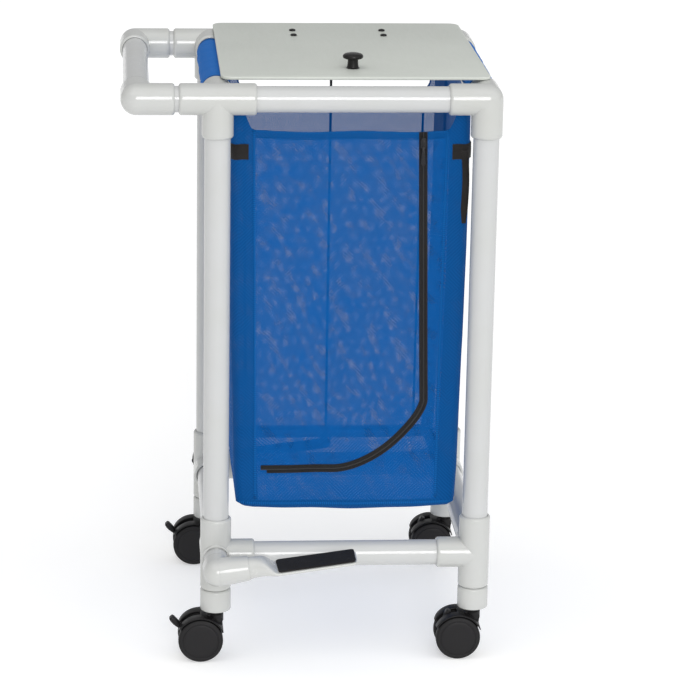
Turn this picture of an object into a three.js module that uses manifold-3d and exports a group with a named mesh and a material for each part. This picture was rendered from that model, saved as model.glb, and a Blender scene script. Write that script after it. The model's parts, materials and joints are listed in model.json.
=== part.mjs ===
// Linen hamper trolley: PVC pipe frame on four swivelling twin-wheel casters, a hinged flat lid,
// a hanging mesh bag with a front zipper, and a foot pedal that lifts the lid by a rod at the back.
// Millimetres, +Z up, front face towards -Y, push handle towards -X.
// Origin: on the floor, midway between the four corner posts.
import * as THREE from 'three';
import { mergeVertices, mergeGeometries } from 'three/addons/utils/BufferGeometryUtils.js';
import Module from 'manifold-3d';

const wasm = await Module();
wasm.setup();

// ---------------------------------------------------------------- driving dimensions
const W2 = 216;          // half spacing of the post axes in x
const D2 = 227.5;        // half spacing of the post axes in y
const ZT = 955;          // height of the top rail axes
const ZB = 183;          // height of the bottom rail axes
const RP = 21.1;         // pipe outside radius (nominal 1 1/4 inch PVC pipe)
const RPI = 17.5;        // pipe inside radius
const RF = 25.6;         // fitting outside radius
const RB = 21.5;         // fitting bore radius
const LF = 62;           // fitting branch length from its centre
const ENDG = 26;         // distance from a fitting's centre to the pipe end inside it
const XH = -345;         // handle grip axis
const NP = 16;           // facets of pipes and fittings
const NW = 20;           // facets of the wheels
const LID = { x0: -210, x1: 225, y0: -203, y1: 257, z0: 981, t: 4.8, r: 18 };
const KNOB = { x: 6, y: -131 };
const HX = [-75, 79];    // hinge strap centres
const HB = [184, 141];   // hinge strap bolts, y
const XROD = 0;          // lift rod
const PIV = { y: 277.5, z: 975 }; // pivot of the lift rod on the lid
const CRANK = { r: 217, a: 8 }; // crank length and its rest angle above horizontal, degrees
const RS = 20.3;         // pedal shaft radius
const YE = -312;         // pedal elbow centre
const TILT = 7.5;        // rest tilt of the pedal arm, degrees
const ZSOCK = [87, 124, 152]; // caster socket: bottom, shoulder, top of its spigot
const TRAIL = 25;        // caster trail
const RW = 37.5;         // wheel radius
const BAG = { hx: 194.5, hy: 197, t: 2.2, z0: 249, ztop: 925, zf: 897, zr: 880 };

// ---------------------------------------------------------------- materials
const mat = (color, roughness, metalness = 0) => new THREE.MeshStandardMaterial({ color, roughness, metalness });
const M = {
  pipe: mat(0xdadbd8, 0.32), fitting: mat(0xd9dad6, 0.38), lid: mat(0xbec2ba, 0.5), black: mat(0x262324, 0.45),
  tyre: mat(0x2b292b, 0.6), tread: mat(0x1f1d1d, 0.85), bag: mat(0x0a58a2, 0.8), tape: mat(0x1d1a1b, 0.8),
  webbing: mat(0x26211f, 0.85), rod: mat(0x1a1a1c, 0.4, 0.6), steel: mat(0x2c2c2e, 0.4, 0.7), paddle: mat(0xdfe0de, 0.35),
};

// ---------------------------------------------------------------- helpers
const clean = (g) => { g = g.clone(); g.deleteAttribute('normal'); g.deleteAttribute('uv'); return mergeVertices(g, 1e-3); };
function solid(g) {
  g = clean(g);
  return new wasm.Manifold(new wasm.Mesh({ numProp: 3, vertProperties: new Float32Array(g.attributes.position.array), triVerts: new Uint32Array(g.index.array) }));
}
function geo(m) {
  const s = m.getMesh(); const g = new THREE.BufferGeometry();
  const n = s.numProp, p = new Float32Array(s.vertProperties.length / n * 3);
  for (let i = 0; i < p.length / 3; i++) for (let k = 0; k < 3; k++) p[3 * i + k] = s.vertProperties[n * i + k];
  g.setAttribute('position', new THREE.BufferAttribute(p, 3)); g.setIndex(new THREE.BufferAttribute(new Uint32Array(s.triVerts), 1));
  return g;
}
const join = (...a) => a.reduce((x, y) => x.add(y));
const cut = (a, ...b) => b.reduce((x, y) => x.subtract(y), a);
// place a shape made along +Y so that +Y points along dir, keeping one facet phase per direction
function along(g, dir, at) {
  const d = dir[0] !== 0 ? 'x' : dir[1] !== 0 ? 'y' : 'z';
  if (d === 'z') g.rotateX(Math.PI / 2); if (d === 'x') g.rotateZ(-Math.PI / 2);
  if ((dir[0] || dir[1] || dir[2]) < 0) { if (d === 'z') g.rotateX(Math.PI); if (d === 'x') g.rotateZ(Math.PI); if (d === 'y') g.rotateX(Math.PI); }
  g.translate(...at); return g;
}
const vadd = (a, b, s) => [a[0] + b[0] * s, a[1] + b[1] * s, a[2] + b[2] * s];
function rod(r, at, dir, l0, l1, n = NP) { // solid cylinder from at+dir*l0 to at+dir*l1
  const g = new THREE.CylinderGeometry(r, r, l1 - l0, n, 1); g.translate(0, (l0 + l1) / 2, 0);
  return along(g, dir, at);
}
function turned(pts, at, dir, n = NP) { // lathe about dir, pts are [radius, distance along dir]
  const g = new THREE.LatheGeometry(pts.map((p) => new THREE.Vector2(p[0], p[1])), n);
  return along(g, dir, at);
}
function tube(ro, ri, at, dir, l0, l1, n = NP) { return turned([[ri, l0], [ro, l0], [ro, l1], [ri, l1], [ri, l0]], at, dir, n); }
function box(x0, x1, y0, y1, z0, z1) { const g = new THREE.BoxGeometry(x1 - x0, y1 - y0, z1 - z0); g.translate((x0 + x1) / 2, (y0 + y1) / 2, (z0 + z1) / 2); return g; }
function plateXZ(pts, y0, y1) { // polygon in x,z extruded along y
  const s = new THREE.Shape(pts.map((p) => new THREE.Vector2(p[0], p[1])));
  const g = new THREE.ExtrudeGeometry(s, { depth: y1 - y0, bevelEnabled: false, curveSegments: 4 });
  g.rotateX(Math.PI / 2); g.translate(0, y1, 0); return g;
}
function plateYZ(pts, x0, x1) { // polygon in y,z extruded along x
  const s = new THREE.Shape(pts.map((p) => new THREE.Vector2(p[0], p[1])));
  const g = new THREE.ExtrudeGeometry(s, { depth: x1 - x0, bevelEnabled: false, curveSegments: 4 });
  g.applyMatrix4(new THREE.Matrix4().set(0, 0, 1, x0, 1, 0, 0, 0, 0, 1, 0, 0, 0, 0, 0, 1)); return g;
}
function slab(x0, x1, y0, y1, r, z0, z1, seg = 4) { // rounded rectangle plate
  const s = new THREE.Shape(); const q = Math.PI / 2;
  s.absarc(x1 - r, y1 - r, r, 0, q); s.absarc(x0 + r, y1 - r, r, q, 2 * q); s.absarc(x0 + r, y0 + r, r, 2 * q, 3 * q); s.absarc(x1 - r, y0 + r, r, 3 * q, 4 * q);
  const g = new THREE.ExtrudeGeometry(s, { depth: z1 - z0, bevelEnabled: false, curveSegments: seg }); g.translate(0, 0, z0); return g;
}
const circle = (cx, cz, r, n, a0 = 0, a1 = 360, whole = true) => Array.from({ length: whole ? n : n + 1 }, (_, i) => {
  const a = (a0 + (a1 - a0) * i / n) * Math.PI / 180; return [cx + r * Math.cos(a), cz + r * Math.sin(a)];
});
function loft(rings) { // rings of equal length, first and last capped by a fan
  const n = rings[0].length, p = [], ix = [];
  rings.forEach((r) => r.forEach((v) => p.push(...v)));
  const c0 = rings[0].reduce((a, v) => vadd(a, v, 1 / n), [0, 0, 0]), c1 = rings.at(-1).reduce((a, v) => vadd(a, v, 1 / n), [0, 0, 0]);
  const a = p.length / 3; p.push(...c0, ...c1);
  for (let i = 0; i + 1 < rings.length; i++) for (let j = 0; j < n; j++) { const k = (j + 1) % n, b = i * n, c = b + n; ix.push(b + j, b + k, c + k, b + j, c + k, c + j); }
  for (let j = 0; j < n; j++) { const k = (j + 1) % n, l = (rings.length - 1) * n; ix.push(a, k, j, a + 1, l + j, l + k); }
  const g = new THREE.BufferGeometry(); g.setAttribute('position', new THREE.BufferAttribute(new Float32Array(p), 3)); g.setIndex(ix); return g;
}
const group = new THREE.Group(); group.name = 'linen_trolley';
function add(name, g, material) {
  const c = clean(g); c.computeVertexNormals();
  const m = new THREE.Mesh(c, material); m.name = name; group.add(m);
}

// ---------------------------------------------------------------- pipe fittings
const X = [1, 0, 0], NX = [-1, 0, 0], Y = [0, 1, 0], NY = [0, -1, 0], Z = [0, 0, 1], NZ = [0, 0, -1];
function fitting(c, branches, { ball = true, drill = [], r = RF, rb = RB } = {}) {
  let o = null, b = null;
  for (const [d, l] of branches) {
    const s = solid(rod(r, c, d, 0, l)), h = solid(rod(rb, c, d, 0, l + 2));
    o = o ? o.add(s) : s; b = b ? b.add(h) : h;
  }
  if (ball) { const g = new THREE.SphereGeometry(r * 0.9995, NP, NP / 2); g.rotateX(Math.PI / 2); g.translate(...c); o = o.add(solid(g)); }
  for (const d of drill) b = b.add(solid(rod(rb, c, d, 0, r + 3)));
  return geo(o.subtract(b));
}
const tl = [[-1, 'l'], [1, 'r']], fr = [[-1, 'f'], [1, 'b']];
for (const [sx, nx] of tl) for (const [sy, ny] of fr) {
  const c = [sx * W2, sy * D2, ZT], dx = sx < 0 ? X : NX, dy = sy < 0 ? Y : NY;
  const br = [[dx, LF], [dy, LF], [NZ, LF]]; if (sx < 0) br.push([NX, LF]);
  add(`corner_top_${ny}${nx}`, fitting(c, br), M.fitting);
  const t = [sx * W2, sy * D2, ZB];
  add(`tee_low_${ny}${nx}`, fitting(t, [[Z, 66], [NZ, 58.2], [dx, 64], [dy, LF]], { ball: false, drill: sx < 0 ? [sy < 0 ? NY : Y] : [] }), M.fitting);
  add(`post_${ny}${nx}`, tube(RP, RPI, [sx * W2, sy * D2, 0], Z, ZB + ENDG, ZT - ENDG), M.pipe);
}
for (const [sy, ny] of fr) {
  add(`handle_elbow_${ny}`, fitting([XH, sy * D2, ZT], [[X, 60], [sy < 0 ? Y : NY, 60]]), M.fitting);
  add(`handle_nipple_${ny}`, tube(RP, RPI, [0, sy * D2, ZT], X, XH + ENDG, -W2 - ENDG), M.pipe);
  add(`rail_top_${ny}`, tube(RP, RPI, [0, sy * D2, ZT], X, -W2 + ENDG, W2 - ENDG), M.pipe);
  add(`rail_low_${ny}`, tube(RP, RPI, [0, sy * D2, ZB], X, -W2 + ENDG, W2 - ENDG), M.pipe);
}
add('handle_grip', tube(RP, RPI, [XH, 0, ZT], Y, -D2 + ENDG, D2 - ENDG), M.pipe);
add('rail_top_l', tube(RP, RPI, [-W2, 0, ZT], Y, -D2 + ENDG, D2 - ENDG), M.pipe);
add('rail_top_r', tube(RP, RPI, [W2, 0, ZT], Y, -D2 + ENDG, D2 - ENDG), M.pipe);
add('rail_low_r', tube(RP, RPI, [W2, 0, ZB], Y, -D2 + ENDG, D2 - ENDG), M.pipe);

// ---------------------------------------------------------------- casters
const wz = RW, RV = RW / Math.cos(Math.PI / NW); // a flat of the faceted tyre touches the floor
const LT = [-51, 46], LDIR = 132, FLIP = 62;     // brake lever trunnion (x, z), lever direction, flip angle
for (const [sx, nx] of tl) for (const [sy, ny] of fr) {
  const id = `${ny}${nx}`, a = [sx * W2, sy * D2, 0], at = (x, y, z) => [a[0] + x, a[1] + y, z];
  // socket: cap with a spigot up into the tee and a bore for the caster's stem
  add(`caster_socket_${id}`, turned([[6.6, ZSOCK[0]], [RF, ZSOCK[0]], [RF, ZSOCK[1]], [RP, ZSOCK[1]], [RP, ZSOCK[2]], [6.6, ZSOCK[2]], [6.6, ZSOCK[0]]], a, Z), M.fitting);
  // housing: web between the wheels, hood over them, boss and stem
  const wc = at(-TRAIL, 0, wz);
  const wedge = (r, y) => solid(plateXZ([[wc[0], wz], ...circle(wc[0], wz, r, 8, 30, 128, false)], a[1] - y, a[1] + y));
  let h = solid(rod(34, wc, Y, -10, 10)).add(wedge(41.5, 10));
  h = h.add(wedge(41.5, 27.5).subtract(solid(rod(39.4, wc, Y, -40, 40, NW))));
  h = h.add(solid(box(a[0] - 16, a[0] + 9.5, a[1] - 10, a[1] + 10, 40, 72)));
  h = h.add(solid(rod(11, a, Z, 68, 86.2))).add(solid(rod(5.6, a, Z, 80, 140, 12)));
  h = cut(h, solid(rod(4.7, wc, Y, -40, 40, 12)), solid(rod(3.1, at(LT[0], 0, LT[1]), Y, -40, 40, 10)));
  h = h.subtract(solid(plateXZ([[a[0] - 60, 26], [a[0] - 42, 30], [a[0] - 43, 58], [a[0] - 24, 64], [a[0] - 24, 90], [a[0] - 70, 90]], a[1] - 7.5, a[1] + 7.5)));
  const parts = h.decompose ? h.decompose() : [h];
  h = parts.sort((p, q) => q.volume() - p.volume())[0];
  add(`caster_housing_${id}`, geo(h), M.black);
  // twin wheels; the outer one carries the axle
  const ph = Math.PI / NW;
  const spin = (g) => { g.translate(-wc[0], -wc[1], -wc[2]); g.rotateY(ph); g.translate(...wc); return g; };
  add(`wheel_a_${id}`, spin(turned([[0, -28.8], [33, -28], [RV, -24], [RV, -14.5], [35.5, -11.2], [4, -11.2], [4, 22], [0, 22]], wc, Y, NW)), M.tyre);
  add(`wheel_b_${id}`, spin(turned([[0, 28.8], [33, 28], [RV, 24], [RV, 14.5], [35.5, 11.2], [4.5, 11.2], [4.5, 23], [0, 23]].reverse(), wc, Y, NW)), M.tyre);
  // brake lever with trunnions; out on the handle side, folded onto the hood on the other
  const dir = (sx < 0 ? LDIR : LDIR - FLIP) * Math.PI / 180, c = Math.cos(dir), s = Math.sin(dir);
  const L = (u, v) => [a[0] + LT[0] + u * c - v * s, LT[1] + u * s + v * c];
  let lv = solid(plateXZ([L(-4, -3.4), L(33.5, -3), L(35.5, -1), L(35.5, 2), L(33.5, 3.6), L(0, 3.6), L(-4, 1.5)], a[1] - 7, a[1] + 7));
  lv = lv.add(solid(rod(2.5, at(LT[0], 0, LT[1]), Y, -9.7, 9.7, 10)));
  add(`brake_lever_${id}`, geo(lv), M.black);
}

// ---------------------------------------------------------------- lid, knob, hinge straps, rod bracket
const zl = LID.z0, zu = LID.z0 + LID.t;
{
  let l = solid(slab(LID.x0, LID.x1, LID.y0, LID.y1, LID.r, zl, zu));
  for (const x of HX) for (const y of HB) l = l.subtract(solid(rod(3.5, [x, y, 0], Z, zl - 5, zu + 5, 10)));
  l = l.subtract(solid(rod(3.5, [KNOB.x, KNOB.y, 0], Z, zl - 5, zu + 5, 10)));
  // shallow counterbores seat the knob and the fastener heads
  for (const x of HX) for (const y of HB) l = l.subtract(solid(rod(6.4, [x, y, 0], Z, zu - 0.8, zu + 5, 10)));
  l = l.subtract(solid(rod(10.2, [KNOB.x, KNOB.y, 0], Z, zu - 0.8, zu + 5, 14)));
  add('lid', geo(l), M.lid);
}
add('knob', turned([[0, 974], [3, 974], [3, zu - 0.4], [9.2, zu - 0.4], [9, 1001], [15.6, 1002.6], [16.8, 1005.4], [15.4, 1008.4], [8, 1010.8], [0, 1011.4]], [KNOB.x, KNOB.y, 0], Z, 14), M.black);
HX.forEach((x, i) => {
  let h = solid(tube(24.6, 22, [x, D2, ZT], X, -11, 11));
  h = h.add(solid(box(x - 11, x + 11, 128, D2 + 2, ZT + 22.4, zl - 0.4)));
  h = h.subtract(solid(rod(22, [x, D2, ZT], X, -12, 12)));
  for (const y of HB) h = h.add(solid(turned([[0, 978.5], [3, 978.5], [3, zu - 0.4], [5.6, zu - 0.4], [5.6, zu + 1.8], [4.2, zu + 2.8], [0, zu + 2.8]], [x, y, 0], Z, 10)));
  add(`hinge_strap_${i ? 'r' : 'l'}`, geo(h), M.black);
});
{
  const ear = [[232, zl - 0.4], [232, zl - 3.2], [250, zl - 5], [PIV.y - 6, PIV.z - 5.5], [PIV.y + 2, PIV.z - 6], [PIV.y + 6, PIV.z - 2], [PIV.y + 6, PIV.z + 2], [PIV.y + 2, PIV.z + 5.6], [256, zl - 0.4]];
  let b = join(solid(plateYZ(ear, XROD - 7.5, XROD - 4.5)), solid(plateYZ(ear, XROD + 4.5, XROD + 7.5)), solid(rod(2.3, [XROD, PIV.y, PIV.z], X, -9, 9, 10)));
  b = b.add(solid(box(XROD - 5, XROD + 5, 232, 243, zl - 2.6, zl - 0.4)));
  add('rod_bracket', geo(b), M.steel);
}

// ---------------------------------------------------------------- pedal: shaft, elbow, flattened arm, tread, crank, lift rod
add('pedal_shaft', tube(RS, 16.6, [-W2, 0, ZB], Y, YE + 10, 268), M.pipe);
{
  const o = [0, 0, 0], ball = new THREE.SphereGeometry(23.69, NP, NP / 2); ball.rotateX(Math.PI / 2);
  let m = join(solid(rod(23.7, o, Y, 0, 31)), solid(turned([[0, 0], [23.7, 0], [23.7, 10], [20.4, 53], [0, 53]], o, X)), solid(ball));
  m = cut(m, join(solid(rod(20.9, o, Y, 0, 33)), solid(rod(18.5, o, X, 0, 55))));
  const g = geo(m);
  g.rotateY(-TILT * Math.PI / 180); g.translate(-W2, YE, ZB);
  add('pedal_elbow', g, M.fitting);
}
{
  // stations: x, centre z, half width in y, half thickness, squareness
  const st = [[-190, 0, 18, 18, 2], [-161, 0, 18, 18, 2], [-150, 0.7, 20.5, 16.7, 2.2], [-142, 0.5, 23, 15.1, 2.4], [-134, -1.4, 25.8, 11.8, 2.7], [-126, -5.2, 28.3, 6.8, 3.2], [-119, -8, 30, 3.5, 4], [5, -6.8, 30, 3.4, 4], [12, -6.4, 26, 2.9, 4]];
  const axisZ = (x) => ZB + (x + W2) * Math.tan(TILT * Math.PI / 180);
  const rings = st.map(([x, dz, a, b, p]) => Array.from({ length: NP }, (_, i) => {
    const t = (i + 0.5) / NP * 2 * Math.PI, c = Math.cos(t), s = Math.sin(t);
    return [x - (p === 2 ? Math.sign(s) * Math.abs(s) * b * Math.sin(TILT * Math.PI / 180) : 0), YE + a * Math.sign(c) * Math.abs(c) ** (2 / p), axisZ(x) + dz + b * Math.sign(s) * Math.abs(s) ** (2 / p)];
  }));
  add('pedal_arm', loft(rings), M.paddle);
  const top = (x) => axisZ(x) - 4.6 + (x + 119) * 1.2 / 124;
  const tr = plateXZ([[-116, top(-116) + 0.5], [8, top(8) + 0.5], [9.5, top(9.5) + 1.6], [7.5, top(7.5) + 2.6], [-116, top(-116) + 2.6], [-117.5, top(-117.5) + 1.6]], YE - 28.5, YE + 28.5);
  add('pedal_tread', tr, M.tread);
}
{
  const ca = CRANK.a * Math.PI / 180, ex = -W2 + CRANK.r * Math.cos(ca), ez = ZB + CRANK.r * Math.sin(ca);
  const P = (u, v) => [-W2 + u * Math.cos(ca) - v * Math.sin(ca), ZB + u * Math.sin(ca) + v * Math.cos(ca)];
  let c = solid(rod(27, [-W2, 0, ZB], Y, 254.8, 266)).add(solid(plateXZ([P(0, -13), P(CRANK.r, -9), P(CRANK.r + 7, -6), P(CRANK.r + 9, 0), P(CRANK.r + 7, 6), P(CRANK.r, 9), P(0, 13)], 254.8, 259.6)));
  c = c.add(solid(turned([[0, 258], [3.5, 258], [3.5, 287.4], [6.5, 287.4], [6.5, 290], [0, 290]], [ex, 0, ez], Y, 12)));
  c = c.subtract(solid(rod(20.8, [-W2, 0, ZB], Y, 250, 270)));
  add('pedal_crank', geo(c), M.steel);
  // lift rod: eye on the lid's pivot at the top, loose eye round the crank's pin at the bottom
  const zc = ez + 1.2;
  let r = solid(rod(2.3, [XROD, PIV.y, 0], Z, zc + 7.5, PIV.z - 4, 12));
  r = r.add(solid(tube(6.2, 3.2, [XROD, PIV.y, PIV.z], X, -2.3, 2.3, 14)));
  r = r.add(solid(tube(10, 6.7, [XROD, PIV.y, zc], Y, -2.3, 2.3, 16)));
  add('lift_rod', geo(r), M.rod);
}

// ---------------------------------------------------------------- bag, zipper, straps
{
  const prof = [[BAG.z0, 13], [BAG.z0 + 3, 5], [BAG.z0 + 12, 0]]; // inset of the bottom edge
  const hx = (z) => { const t = [[249, 180], [267, 182.5], [322, 185.5], [420, 188], [541, 191.5], [700, 194], [925, 194.5]]; for (let i = 1; i < t.length; i++) if (z <= t[i][0]) { const f = (z - t[i - 1][0]) / (t[i][0] - t[i - 1][0]); return t[i - 1][1] + f * (t[i][1] - t[i - 1][1]); } return 194.5; };
  const ring = (z, off, r) => {
    const a = hx(Math.max(z, BAG.z0)) - off, b = BAG.hy - off, out = [];
    [[1, 1, 0], [-1, 1, 90], [-1, -1, 180], [1, -1, 270]].forEach(([sx, sy, a0]) => { for (let i = 0; i < 4; i++) { const t = (a0 + i * 30) * Math.PI / 180; out.push([sx * (a - r) + r * Math.cos(t), sy * (b - r) + r * Math.sin(t), z]); } });
    return out;
  };
  const zs = [BAG.z0 + 12, 420, 600, BAG.ztop];
  const outer = [...prof.slice(0, 2).map(([z, o]) => ring(z, o, 14)), ...zs.map((z) => ring(z, 0, 14))];
  const inner = [ring(BAG.z0 + BAG.t, 14, 12), ring(BAG.z0 + BAG.t + 3, BAG.t + 4.5, 12), ...zs.map((z, i) => ring(i ? z : z + 1, BAG.t, 12))];
  inner.at(-1).forEach((v) => { v[2] += 2; });
  let b = solid(loft(outer)).subtract(solid(loft(inner)));
  // front and rear panels hang lower than the side panels, with slanted ends
  const notch = (z) => [[-158, z], [158, z], [166, z + 14], [166, z + 80], [-166, z + 80], [-166, z + 14]];
  b = b.subtract(solid(plateXZ(notch(BAG.zf), -210, -150))).subtract(solid(plateXZ(notch(BAG.zr), 150, 210)));
  // side panels run up into sleeves round the side rails
  for (const s of [-1, 1]) {
    const xi = s * (BAG.hx - BAG.t), xo = s * BAG.hx;
    b = b.add(solid(box(Math.min(xi, xo), Math.max(xi, xo), -158, 158, 915, ZT)));
    b = b.add(solid(rod(23.8, [s * W2, 0, ZT], Y, -158, 158)));
    b = b.subtract(solid(rod(21.7, [s * W2, 0, ZT], Y, -160, 160)));
  }
  add('bag', geo(b), M.bag);
}
{
  // zipper tape: down the front panel, round a curve and across to the left
  const P = []; P.push([116.8, 895], [127.9, 441]);
  const b = [[127.9, 441], [124, 405], [50, 326], [-20, 323]];
  for (let i = 1; i <= 7; i++) { const t = i / 7, u = 1 - t; P.push([0, 1].map((k) => u ** 3 * b[0][k] + 3 * u * u * t * b[1][k] + 3 * u * t * t * b[2][k] + t ** 3 * b[3][k])); }
  P.push([-128, 322]);
  const w = 7.2, left = [], right = [];
  P.forEach((p, i) => {
    const q = P[Math.max(0, i - 1)], r = P[Math.min(P.length - 1, i + 1)], dx = r[0] - q[0], dz = r[1] - q[1], l = Math.hypot(dx, dz);
    left.push([p[0] - dz / l * w, p[1] + dx / l * w]); right.push([p[0] + dz / l * w, p[1] - dx / l * w]);
  });
  add('zipper_tape', plateXZ([...left, [-143, 328], ...right.reverse()], -BAG.hy - 1.9, -BAG.hy - 0.4), M.tape);
  // slider at the top end of the run
  let s = solid(box(112.2, 122.2, -BAG.hy - 5.4, -BAG.hy - 2.3, 868, 886));
  s = s.add(solid(plateXZ([[115.2, 872], [119.2, 872], [121, 846], [117.2, 840], [113.4, 846]], -BAG.hy - 7, -BAG.hy - 4.8)));
  add('zipper_slider', geo(s), M.steel);
}
for (const [s, n] of tl) {
  // webbing strap round each front corner of the bag; the right one has a hanging tail
  const y0 = -BAG.hy - 0.5, y1 = -BAG.hy - 2.3, xo = BAG.hx + 0.5, xoo = BAG.hx + 2.3, z0 = 849, z1 = 875;
  const arc = (r) => [0, 30, 60, 90].map((t) => [s * (BAG.hx - 14 + r * Math.sin(t * Math.PI / 180)), -BAG.hy + 14 - r * Math.cos(t * Math.PI / 180)]);
  const pts = [[s * 165, y1], ...arc(16.3), [s * xoo, -120], [s * xo, -120], ...arc(14.5).reverse(), [s * 165, y0]];
  const sh = new THREE.Shape((s > 0 ? pts : pts.slice().reverse()).map((p) => new THREE.Vector2(p[0], p[1])));
  const g = new THREE.ExtrudeGeometry(sh, { depth: z1 - z0, bevelEnabled: false }); g.translate(0, 0, z0);
  let m = solid(g);
  if (s > 0) m = m.add(solid(plateXZ([[179, 864], [191, 864], [190, 800], [193, 756], [189, 742], [184.5, 756], [178.5, 800]], y1 - 1.6, y1 + 0.4)));
  add(`strap_${n}`, geo(m), M.webbing);
}

export default group;
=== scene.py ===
import json
import math

import bmesh
import bpy
import numpy as np
from mathutils import Matrix, Vector

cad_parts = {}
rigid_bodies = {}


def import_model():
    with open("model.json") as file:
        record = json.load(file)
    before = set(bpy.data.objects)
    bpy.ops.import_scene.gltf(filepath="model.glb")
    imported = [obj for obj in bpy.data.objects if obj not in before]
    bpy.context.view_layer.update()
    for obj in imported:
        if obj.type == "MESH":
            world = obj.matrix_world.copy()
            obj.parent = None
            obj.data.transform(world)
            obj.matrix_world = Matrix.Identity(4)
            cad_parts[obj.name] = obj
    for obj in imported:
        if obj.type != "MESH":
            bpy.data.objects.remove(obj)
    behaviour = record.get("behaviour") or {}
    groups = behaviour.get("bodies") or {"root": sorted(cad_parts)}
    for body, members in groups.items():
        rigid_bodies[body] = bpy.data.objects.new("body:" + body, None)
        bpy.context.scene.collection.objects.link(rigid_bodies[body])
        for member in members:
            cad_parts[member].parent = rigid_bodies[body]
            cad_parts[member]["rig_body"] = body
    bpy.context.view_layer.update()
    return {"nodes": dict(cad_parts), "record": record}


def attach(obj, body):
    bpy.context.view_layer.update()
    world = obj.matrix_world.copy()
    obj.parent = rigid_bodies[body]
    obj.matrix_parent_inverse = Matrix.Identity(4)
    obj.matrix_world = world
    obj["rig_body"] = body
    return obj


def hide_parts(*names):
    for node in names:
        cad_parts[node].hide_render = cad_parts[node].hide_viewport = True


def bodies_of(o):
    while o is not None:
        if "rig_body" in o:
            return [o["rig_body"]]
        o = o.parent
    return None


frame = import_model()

MM = 0.001
TAU = 2 * math.pi
rng = np.random.RandomState(7)

# ------------------------------------------------------------------ camera
scene = bpy.context.scene
cam_data = bpy.data.cameras.new("camera")
cam = bpy.data.objects.new("camera", cam_data)
scene.collection.objects.link(cam)
scene.camera = cam
cam_data.sensor_width = 36.0
cam_data.lens = 156.97
cam_data.clip_start, cam_data.clip_end = 0.1, 200.0
yaw, pitch, roll = -0.07872, 0.29515, -0.018
cy, sy, cp, sp, cr, sr = math.cos(yaw), math.sin(yaw), math.cos(pitch), math.sin(pitch), math.cos(roll), math.sin(roll)
R = (np.array([[cy, -sy, 0], [sy, cy, 0], [0, 0, 1]]) @ np.array([[1, 0, 0], [0, cp, sp], [0, -sp, cp]])
     @ np.array([[1, 0, 0], [0, 0, 1], [0, -1, 0]]) @ np.array([[cr, -sr, 0], [sr, cr, 0], [0, 0, 1]]))
m = Matrix.Identity(4)
for i in range(3):
    m[i][0], m[i][1], m[i][2] = R[i, 0], -R[i, 1], -R[i, 2]
m[0][3], m[1][3], m[2][3] = -0.37356, -4.98959, 1.98917
cam.matrix_world = m

# ------------------------------------------------------------------ light and floor
scene.view_settings.view_transform = "Standard"
scene.view_settings.look = "None"
world = bpy.data.worlds.new("world")
scene.world = world
world.use_nodes = True
world.node_tree.nodes["Background"].inputs["Color"].default_value = (0.985, 0.99, 1.0, 1)
world.node_tree.nodes["Background"].inputs["Strength"].default_value = 0.5


def sun(name, direction, strength, angle, colour=(1, 1, 1)):
    d = bpy.data.lights.new(name, "SUN")
    d.energy, d.angle, d.color = strength, math.radians(angle), colour
    o = bpy.data.objects.new(name, d)
    o.rotation_mode = "QUATERNION"
    o.rotation_quaternion = Vector(direction).to_track_quat("-Z", "Y")
    scene.collection.objects.link(o)


def softbox(name, at, to, w, h, watts, colour=(1, 1, 1)):
    d = bpy.data.lights.new(name, "AREA")
    d.shape, d.size, d.size_y, d.energy, d.color = "RECTANGLE", w, h, watts, colour
    o = bpy.data.objects.new(name, d)
    o.location = at
    o.rotation_mode = "QUATERNION"
    o.rotation_quaternion = (Vector(to) - Vector(at)).to_track_quat("-Z", "Y")
    scene.collection.objects.link(o)


sun("front", (-0.12, 1.0, -0.34), 1.15, 22, (1.0, 0.995, 0.985))
sun("right", (-0.75, 0.55, -0.6), 0.55, 60, (0.94, 0.97, 1.0))
sun("top", (0.2, 0.35, -1.0), 0.75, 60, (1.0, 0.99, 0.97))
softbox("strip", (-0.07, -5.0, 2.52), (-0.1, 0, 0.6), 0.5, 0.22, 9)


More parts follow.
